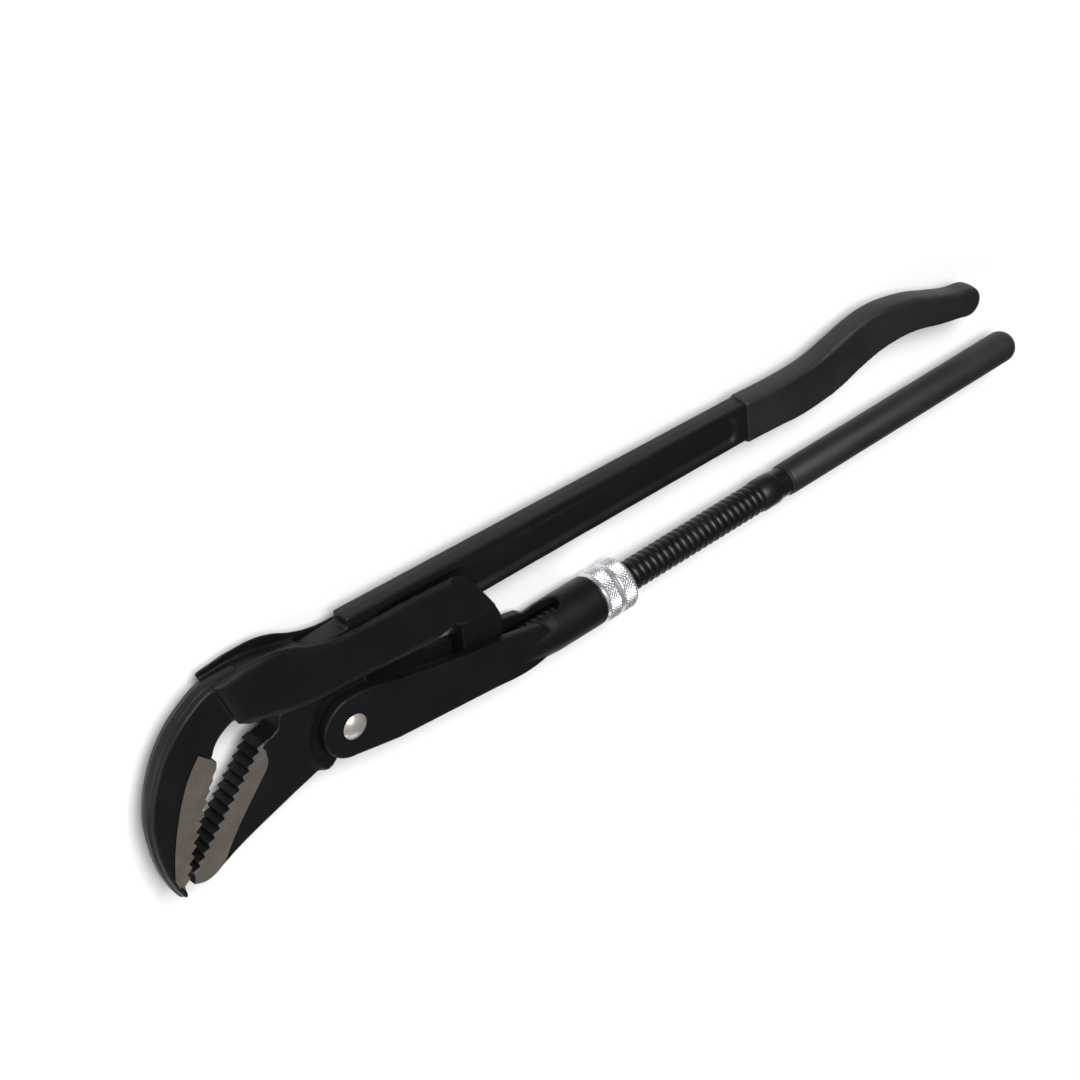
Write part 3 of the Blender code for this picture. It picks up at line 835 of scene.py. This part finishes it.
@dataclass
class HookJaw:
    """Hook jaw with the loop round the shank and the tail that the spindle pushes."""

    flank_half: float = 5.5
    loop_inner: float = 6.5
    loop_half: float = 9.6
    tail_half: float = 5.0
    tail_plate_half: float = 8.4
    tail_radius: float = 9.5
    slot_half: float = 2.7       # of the slot for the spindle's tongue
    teeth: Teeth = Teeth((-251.4, -13.6), (-224.2, 39.6), 11, -1.0, 0.7, bow=1.9, fade=0.8)

    def flank(self) -> Object:
        """Curved hook with a fine ridge along the mid-plane and well rounded edges."""
        points = [(-209.0, 80.6), (-218.5, 80.6, SOFT), (-224.5, 79.0, SOFT), (-230.5, 76.0, SOFT),
                  (-243.6, 66.0, SOFT), (-254.6, 50.0, SOFT), (-261.4, 30.0, SOFT), (-262.4, 18.0, SOFT),
                  (-260.2, -3.0, SOFT), (-257.6, -12.0, SOFT), (-254.4, -19.6, SOFT),
                  (-251.9, -22.9, SOFT), (-249.9, -22.0, SOFT), (-249.4, -18.0, SOFT), (-251.0, -14.0),
                  (-248.6, 0.0, SOFT), (-243.0, 16.0, SOFT), (-235.4, 32.0, SOFT),
                  (-228.6, 41.0), (-224.2, 43.6, SOFT), (-221.5, 48.5, SOFT), (-217.0, 52.6, SOFT),
                  (-206.0, 57.0), (-203.0, 62.0), (-203.0, 80.6)]
        ridge_and_draft = [(0.8, 0.3), (0.35, 1.6), *rounding(1.6, 3)]
        return slab("hook_jaw_forging", points, self.flank_half, ridge_and_draft, draft=0.05)

    def loop(self) -> list[Object]:
        """Cheeks beside the shank, with a sloped front edge, and the sunk wall between their tops."""
        cheek = [(-219.4, 81.8), (-210.4, 55.8), (-205.0, 52.4), (-196.0, 50.0, SOFT), (-186.0, 46.8, SOFT),
                 (-174.0, 44.0, SOFT), (-146.5, 41.6), (-116.0, 38.6), (-98.0, 37.4), (-84.6, 40.0),
                 (-83.4, 62.6), (-86.6, 66.2), (-116.0, 68.4), (-141.0, 69.4), (-155.0, 70.8, SOFT),
                 (-167.0, 74.6, SOFT), (-177.0, 79.6, SOFT), (-187.0, 82.6, SOFT), (-203.0, 83.4)]
        rim = [(0.3, 0.8), (0.8, 0.9), (1.2, 0.6), (2.2, 0.5)]
        cheeks = side_plates("cheeks", cheek, self.loop_inner, self.loop_half, rim)
        wall = slab("top_wall", [(-216.0, 78.6), (-212.0, 72.0), (-205.0, 70.8), (-166.0, 70.8),
                                 (-166.0, 71.0), (-180.0, 74.4, SOFT), (-190.0, 77.4, SOFT), (-202.0, 79.0)],
                    self.loop_inner + 1.0, [(0.05, 0.05)])
        return [cheeks, wall]

    def tail(self) -> list[Object]:
        """Plates beside the lever, the bridge under it and the eye between the yoke's cheeks."""
        plate = [(-96.0, 44.0), (-95.0, 65.4), (-86.0, 66.4), (-79.6, 63.6, SOFT), (-74.4, 57.6, SOFT),
                 (-69.4, 49.0, SOFT), (-64.6, 40.6, SOFT), (-62.2, 36.0), (-82.0, 36.0), (-88.0, 40.0)]
        plates = side_plates("tail_plates", plate, self.loop_inner, self.tail_plate_half, rounding(1.2, 3))
        bridge = slab("bridge", [(-86.0, 43.6), (-67.6, 43.6), (-64.8, 40.6), (-62.4, 36.2), (-82.0, 36.2)],
                      self.tail_plate_half - 0.1, rounding(1.1, 3))
        eye = slab("tail_eye", [(-81.0, 40.0), (-64.0, 40.0), (-59.4, 31.0, SOFT), (-57.8, 25.0, SOFT),
                                (-58.6, 18.0, SOFT), (-61.4, 9.0, SOFT),
                                *arc(*TAIL_PIN, self.tail_radius, 0.0, -180.0, 20), (-81.6, 24.0)],
                   self.tail_half, rounding(0.9, 3))
        return [plates, bridge, eye]

    def cutters(self) -> list[Object]:
        """Slot for the spindle's tongue, and the pin hole."""
        hole = through("pin_hole", TAIL_PIN, TAIL_PIN_RADIUS + FIT, 32)
        x = TAIL_PIN[0]
        slot = slab("tongue_slot", [(x - 12, -12), (x + 14, -12), (x + 14, 9.5), (x - 12, 9.5)],
                    self.slot_half, SHARP_RIM, draft=0.02)
        return [slot, hole]

    def build(self, bench: Bench) -> None:
        """Model the forging and its toothed strip."""
        body = combine(self.flank(), Operation.JOIN, *self.loop(), *self.tail())
        combine(body, Operation.CUT, *self.cutters())
        bench.hand_over(forged(body, 0.62, 3), "moving_jaw", "black_paint", "hook_jaw")
        strip = toothed_edge("hook_jaw_teeth", self.teeth, [
            (-223.8, 41.9), (-232.3, 50.7), (-237.6, 44.4, SOFT), (-242.2, 37.2, SOFT), (-248.8, 22.0, SOFT),
            (-253.6, 6.0, SOFT), (-256.2, -7.8), (-254.6, -13.4)])
        bench.hand_over(strip, "moving_jaw", "black_paint", ground=True)


# ---- Yoke and its rivet ----

@dataclass
class Yoke:
    """Fork on the rivet, with the collar that carries the nut."""

    half: float = 10.5
    slot_half: float = 5.3
    slot_end: float = 21.0
    head_radius: float = 6.6     # of the rivet
    head_height: float = 2.6
    ear_radius: float = 17.0
    bore_radius: float = 8.3
    bore_depth: float = 116.0
    collar_radius: float = 13.0
    collar_length: float = 38.0
    spigot_radius: float = 10.6
    spigot_length: float = 12.0

    def fork(self) -> Object:
        """Flat cheeks, still in one piece."""
        side = [*arc(*RIVET, self.ear_radius, 95.0, 265.0, 40), (-129.0, -1.6), (-105.0, -4.0),
                (-81.0, -6.4), (-69.0, -7.6), (-57.0, -9.2, SOFT), (-46.0, -9.2, SOFT), (-34.0, -7.0),
                (-34.0, 7.0), (-40.0, 12.0), (-60.0, 16.6), (-95.0, 23.6), (-124.0, 31.0),
                (-142.0, 36.4, SOFT)]
        return slab("yoke_forging", side, self.half, rounding(1.1, 3), draft=0.2)

    def collar(self) -> Object:
        """Round collar that flows into the cheeks, with the spigot inside the nut."""
        end = -self.collar_length
        profile = [(self.spigot_length, 0.0), (self.spigot_length, self.spigot_radius),
                   (0.0, self.spigot_radius), (0.0, self.collar_radius - 0.9), (-0.9, self.collar_radius),
                   (end + 8.0, self.collar_radius), (end + 2.0, self.collar_radius - 0.5),
                   (end - 26.0, 9.6), (end - 26.0, 0.0)]
        return turned("collar", profile, 72)

    def cutters(self) -> list[Object]:
        """Fork slot with its round end, spindle bore and ear hole."""
        stop, mouth = -self.slot_end - self.slot_half, -190.0
        deselect()
        bpy.ops.mesh.primitive_cube_add(size=1.0, location=Vector(((stop + mouth) / 2, 5.0, 0.0)) * MM,
                                        scale=Vector((stop - mouth, 90.0, 2 * self.slot_half)) * MM)
        slot = added("fork_slot")
        end = cylinder("slot_end", self.slot_half, Vector((stop, -40, 0)), Vector((stop, 50, 0)), 48)
        bore = cylinder("bore", self.bore_radius, Vector((-self.bore_depth, 0, 0)), Vector((20, 0, 0)), 64)
        return [slot, end, bore, through("ear_hole", RIVET, RIVET_RADIUS + FIT)]

    def rivet_piece(self) -> Object:
        """Rivet with a domed head on each side, its rim slightly flattened by the closing hammer."""
        under = self.half + 0.1
        ball = (self.head_radius ** 2 + self.head_height ** 2) / (2 * self.head_height)
        widest = math.degrees(math.asin((self.head_radius - 0.15) / ball))
        dome = [(z + under + self.head_height - ball, r) for z, r in arc(0.0, 0.0, ball, 0.0, widest, 10)]
        dome[0] = (dome[0][0], 0.0)
        head = [*dome, (under + 0.15, self.head_radius), (under, self.head_radius - 0.1)]
        shank = [(under, RIVET_RADIUS), (-under, RIVET_RADIUS)]
        foot = [(-z, r) for z, r in head[::-1]]
        return turned("yoke_rivet_domed", head + shank + foot, 64, UPRIGHT, RIVET)

    def build(self, bench: Bench) -> None:
        """Model the yoke and the rivet."""
        body = combine(self.fork(), Operation.JOIN, self.collar())
        combine(body, Operation.CUT, *self.cutters())
        bench.hand_over(forged(body, 0.6, 4, 0.06), "fork", "black_paint", "yoke")
        bench.hand_over(shaded(self.rivet_piece(), 40.0), "upper_lever", "bright_steel", "yoke_rivet")


# ---- Spindle and nut ----

@dataclass
class Spindle:
    """Lower lever: flat tongue, knuckle thread, plain collar and smooth neck."""

    radius: float = 8.0
    pitch: float = 4.0
    depth: float = 1.1
    thread_start: float = -57.0
    thread_end: float = 111.0
    plain_radius: float = 8.4
    neck_start: float = 122.0
    neck_radius: float = 7.7
    rod_end: float = 140.0
    tongue_half: float = 2.4
    tongue_radius: float = 6.8

    def thread(self) -> Object:
        """Helical thread with round crests, closed at both ends."""
        count, fullness = 10, 0.6
        root = self.radius - self.depth
        profile = [(self.thread_start + self.pitch * i / count,
                    root + self.depth * math.sin(math.pi * i / count) ** fullness)
                   for i in range(count + 1)]
        obj = trace("spindle_thread", [Vector((x, r, 0.0)) * MM for x, r in profile])
        bpy.ops.object.mode_set(mode="OBJECT")
        turns = round((self.thread_end - self.thread_start) / self.pitch)
        apply_modifier(obj, "SCREW", axis="X", angle=math.tau, screw_offset=self.pitch * MM,
                       iterations=turns, steps=36, render_steps=36, use_merge_vertices=True,
                       merge_threshold=MERGE)
        edit_all(obj)
        bpy.ops.mesh.remove_doubles(threshold=MERGE)
        bpy.ops.mesh.select_all(action="DESELECT")
        bpy.ops.mesh.select_non_manifold()
        bpy.ops.mesh.fill_holes(sides=0)
        return mend(obj)

    def plain_ends(self) -> list[Object]:
        """Chamfered head, and the plain collar with the neck and the rod inside the grip."""
        start, end, neck = self.thread_start, self.thread_end, self.neck_start
        root, plain, stop = self.radius - self.depth, self.plain_radius, start + self.pitch * 1.1
        head = [(start - 1.6, 0.0), (start - 1.6, self.radius - 1.6), (start - 0.2, self.radius - 0.3),
                (start + self.pitch * 0.5, self.radius - 0.2), (stop, root - 0.2), (stop, 0.0)]
        rod = [(end - 0.4, 0.0), (end - 0.4, root), (end + 0.6, plain - 0.3), (end + 1.2, plain),
               (neck - 0.5, plain), (neck + 0.6, plain - 0.35), (neck + 2.2, self.neck_radius),
               (self.rod_end, self.neck_radius - 0.4), (self.rod_end, 0.0)]
        return [turned("spindle_head", head, 48), turned("spindle_rod", rod, 64)]

    def tongue(self) -> Object:
        """Flat tongue with the eye for the tail pin."""
        root, side = self.thread_start + 1.0, self.tongue_radius - 1.3
        points = [*arc(*TAIL_PIN, self.tongue_radius, 90.0, 270.0, 24), (root, -side), (root, side)]
        return slab("tongue", points, self.tongue_half, rounding(0.4, 2), draft=0.05)

    def build(self, bench: Bench) -> None:
        """Model the spindle."""
        body = combine(self.thread(), Operation.JOIN, *self.plain_ends(), self.tongue())
        combine(body, Operation.CUT, through("tongue_hole", TAIL_PIN, TAIL_PIN_RADIUS + FIT, 32))
        body.name = body.data.name = "spindle_knuckle_thread"
        bench.hand_over(shaded(body, 35.0), "lower_lever", "black_phosphate", "spindle")


@dataclass
class AdjustingNut:
    """Nut with two diamond-knurled bands and a V groove between them."""

    start: float = 0.3
    length: float = 19.0
    radius: float = 13.62        # over the knurl
    knurl_rise: float = 0.45
    rows: int = 4                # knurl squares along a band
    steps: int = 48
    knurl_slope: float = 0.5     # how far a diamond's top is drawn in from its foot
    straight: float = 0.02       # an edge that runs less than this along or around lies square
    groove_depth: float = 1.4
    bore: float = 8.4
    counterbore: float = 10.9
    counterbore_depth: float = 12.0

    def bands(self) -> list[Point]:
        """First and last distance along the nut of each knurled band."""
        return [(self.start + 1.4, self.start + 8.3), (self.start + 11.0, self.start + 17.9)]

    def profile(self) -> list[Point]:
        """Section of the nut, with a point at each knurl row."""
        start, end, base = self.start, self.start + self.length, self.radius - self.knurl_rise
        rows = [[(low + (high - low) * i / self.rows, base) for i in range(self.rows + 1)]
                for low, high in self.bands()]
        waist, floor = base - self.groove_depth, start + self.counterbore_depth
        return [(start, self.counterbore), (start, base - 1.0), (start + 1.0, base), *rows[0],
                (start + 8.7, base - 0.1), (start + 9.4, waist), (start + 9.9, waist),
                (start + 10.6, base - 0.1), *rows[1], (end - 0.7, base - 0.1), (end, base - 0.9),
                (end, self.bore + 0.9), (end - 0.9, self.bore), (floor, self.bore),
                (floor, self.counterbore)]

    def in_band(self, centre: Vector) -> bool:
        """Whether a point is on a knurled band."""
        x, r = centre.x / MM, math.hypot(centre.y, centre.z) / MM
        return r > self.radius - self.knurl_rise - 0.2 and any(low < x < high for low, high in self.bands())

    def select_faces(self, obj: Object, sides: int) -> None:
        """Select the faces on the bands that have this many sides."""
        bpy.ops.mesh.select_mode(type="FACE")
        bpy.ops.mesh.select_all(action="DESELECT")
        mesh = bmesh.from_edit_mesh(obj.data)
        for face in mesh.faces:
            face.select_set(len(face.verts) == sides and self.in_band(face.calc_center_median()))
        bmesh.update_edit_mesh(obj.data)

    def knurl(self, obj: Object) -> None:
        """Turn the bands' squares into raised diamonds: poke, drop the squares' edges, inset each."""
        pick(obj)
        bpy.ops.object.mode_set(mode="EDIT")
        self.select_faces(obj, 4)
        bpy.ops.mesh.poke()
        bpy.ops.mesh.select_mode(type="EDGE")
        bpy.ops.mesh.select_all(action="DESELECT")
        mesh = bmesh.from_edit_mesh(obj.data)
        for edge in mesh.edges:
            first, last = (vert.co for vert in edge.verts)
            run = last - first
            square = min(abs(run.x), math.hypot(run.y, run.z)) < self.straight * MM
            inside = all(len(face.verts) == 3 for face in edge.link_faces)
            edge.select_set(square and inside and self.in_band((first + last) / 2))
        bmesh.update_edit_mesh(obj.data)
        bpy.ops.mesh.dissolve_edges(use_verts=False)
        self.select_faces(obj, 4)
        bpy.ops.mesh.inset(use_individual=True, thickness=self.knurl_slope * MM,
                           depth=self.knurl_rise * MM)
        bpy.ops.object.mode_set(mode="OBJECT")

    def build(self, bench: Bench) -> None:
        """Model the nut."""
        obj = turned("adjusting_nut_knurled", self.profile(), self.steps, closed=True)
        self.knurl(obj)
        bench.hand_over(shaded(obj, 24.0), "nut", "chrome_plate", "adjusting_nut")


# ---- Grips ----

@dataclass
class Grips:
    """Dipped sleeves on both levers."""

    lower_start: float = 130.0
    lower_end: float = 299.0
    lower_radius: float = 8.4
    lip: float = 0.35            # depth of the waist behind the bead at the sleeve's mouth
    upper_half: float = 6.3
    upper_rounding: float = 2.8

    def lower(self) -> Object:
        """Round sleeve with a domed end, and a fine bead where the dip stopped."""
        middle = self.lower_end - self.lower_radius
        dome = arc(middle, 0.0, self.lower_radius, 0.0, 90.0, 12)
        dome[0] = (self.lower_end, 0.0)
        start, radius = self.lower_start, self.lower_radius
        return turned("lower_grip_dipped_sleeve", [
            *dome, (start + 2.4, radius), (start + 1.6, radius - self.lip), (start + 0.9, radius - 0.1),
            (start + 0.2, radius - 0.25), (start, radius - 0.6), (start, 0.0)], 72)

    def upper(self) -> Object:
        """Flattened sleeve over the curved end, straight across at its seam."""
        middle = [(SEAM_X, 51.8, 12.6), (125.0, 50.2, 12.6), (139.0, 49.4, 13.0), (153.0, 50.0, 13.2),
                  (168.0, 52.8, 13.8), (182.0, 56.4, 13.4), (196.0, 58.6, 12.5), (210.0, 58.0, 11.2),
                  (225.0, 55.0, 10.2), (240.0, 49.8, 9.4), (254.0, 45.6, 8.4)]
        top, bottom = (soft((x, y + side * half) for x, y, half in middle) for side in (1, -1))
        top[0], bottom[0] = top[0][:2], bottom[0][:2]
        knob = soft(arc(263.0, 43.4, 8.4, 70.0, -90.0, 8))
        return slab("upper_grip_dipped_sleeve", top + knob + bottom[::-1], self.upper_half,
                    rounding(self.upper_rounding, 5), draft=0.3)

    def build(self, bench: Bench) -> None:
        """Model both sleeves."""
        bench.hand_over(shaded(self.lower(), 35.0), "lower_lever", "dipped_vinyl", "lower_grip_sleeve")
        upper = forged(self.upper(), 0.8, 4, 0.12)
        bench.hand_over(upper, "upper_lever", "dipped_vinyl", "upper_grip_sleeve")


# ---- Studio ----

@dataclass
class Studio:
    """Pale floor, soft light and the camera."""

    floor_colour: str = "#f2f2f2"
    floor_size: float = 14.0
    floor_level: float = -0.0002  # a hair under the nut, which touches the ground
    sky_power: float = 3.0
    sky_angle: float = 45.0      # how wide the soft box looks from the tool, in degrees
    world_power: float = 0.14
    aim: Point = (-0.04538, 0.02075, 0.01365)
    toward_camera: Point = (-0.49051, 0.59371, 0.63789)
    distance: float = 1.52371
    roll: float = 121.27         # degrees that the camera is turned about its own axis
    lens: float = 108.14

    def floor(self) -> None:
        """Plain floor under the tool."""
        deselect()
        bpy.ops.mesh.primitive_plane_add(size=self.floor_size, location=(0.0, 0.0, self.floor_level))
        floor = bpy.context.active_object
        floor.name = "studio_floor"
        floor.data.materials.append(Shading("matt_white_studio_paper").finish({
            "Base Color": linear(self.floor_colour), "Roughness": 0.95, "Specular IOR Level": 0.1}))

    @staticmethod
    def put(name: str, data: bpy.types.ID) -> Object:
        """Put a lamp or a camera in the scene."""
        obj = bpy.data.objects.new(name, data)
        bpy.context.scene.collection.objects.link(obj)
        return obj

    def lamp(self, name: str, place: Point, size: Point, watts: float) -> None:
        """Rectangular soft light aimed at the tool.

        Args:
            name: of the lamp.
            place: where it stands.
            size: its width and height.
            watts: its power.
        """
        data = bpy.data.lights.new(name, "AREA")
        data.shape = "RECTANGLE"
        data.size, data.size_y = size
        data.energy = watts
        lamp = self.put(name, data)
        lamp.location = place
        lamp.rotation_euler = (-Vector(place)).to_track_quat("-Z", "Y").to_euler()

    def sky_panel(self) -> None:
        """Large far soft box that lights the floor evenly from behind the upper lever."""
        data = bpy.data.lights.new("sky_panel", "SUN")
        data.energy, data.angle = self.sky_power, math.radians(self.sky_angle)
        downwards = Vector((0.15, -0.6, -0.8))
        self.put("sky_panel", data).rotation_euler = downwards.to_track_quat("-Z", "Y").to_euler()

    def world(self) -> None:
        """Even, dim surroundings, as in a dark studio."""
        world = bpy.data.worlds.new("dim_studio")
        bpy.context.scene.world = world
        world.use_nodes = True
        background = world.node_tree.nodes["Background"]
        background.inputs["Color"].default_value = (1.0, 1.0, 1.0, 1.0)
        background.inputs["Strength"].default_value = self.world_power

    def camera(self) -> None:
        """Camera at its viewing angle."""
        data = bpy.data.cameras.new("camera")
        data.sensor_width, data.lens = 36.0, self.lens
        camera = self.put("camera", data)
        back = Vector(self.toward_camera).normalized()
        level = (-back).to_track_quat("-Z", "Y").to_matrix().to_4x4()
        turn = Matrix.Rotation(math.radians(self.roll), 4, "Z")
        camera.matrix_world = Matrix.Translation(Vector(self.aim) + back * self.distance) @ level @ turn
        bpy.context.scene.camera = camera

    def build(self) -> None:
        """Set up the studio."""
        bpy.context.scene.view_settings.view_transform = "Standard"
        self.floor()
        self.world()
        self.sky_panel()
        self.lamp("key", (-0.6, 2.4, 2.2), (2.0, 0.7), 40.0)
        self.lamp("side", (-2.6, 0.1, 0.8), (1.6, 0.3), 26.0)
        self.lamp("low", (-0.4, -2.4, 0.85), (3.0, 0.4), 7.0)
        self.camera()


def main() -> None:
    """Build the studio, then every sub-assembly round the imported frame."""
    logging.basicConfig(level=logging.INFO, format="%(name)s: %(message)s")
    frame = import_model()
    Studio().build()
    bench = Bench.from_frame()
    for part in (UpperLever(), HookJaw(), Yoke(), Spindle(), AdjustingNut(), Grips()):
        part.build(bench)
    for name in ("tail_pin", "nut_retaining_ring"):
        kept = frame["nodes"][name]
        kept.data.materials.clear()
        kept.data.materials.append(bench.finishes["bright_steel"])
        LOG.info("%s: kept from the frame", name)
    deselect()


if __name__ == "__main__":
    main()
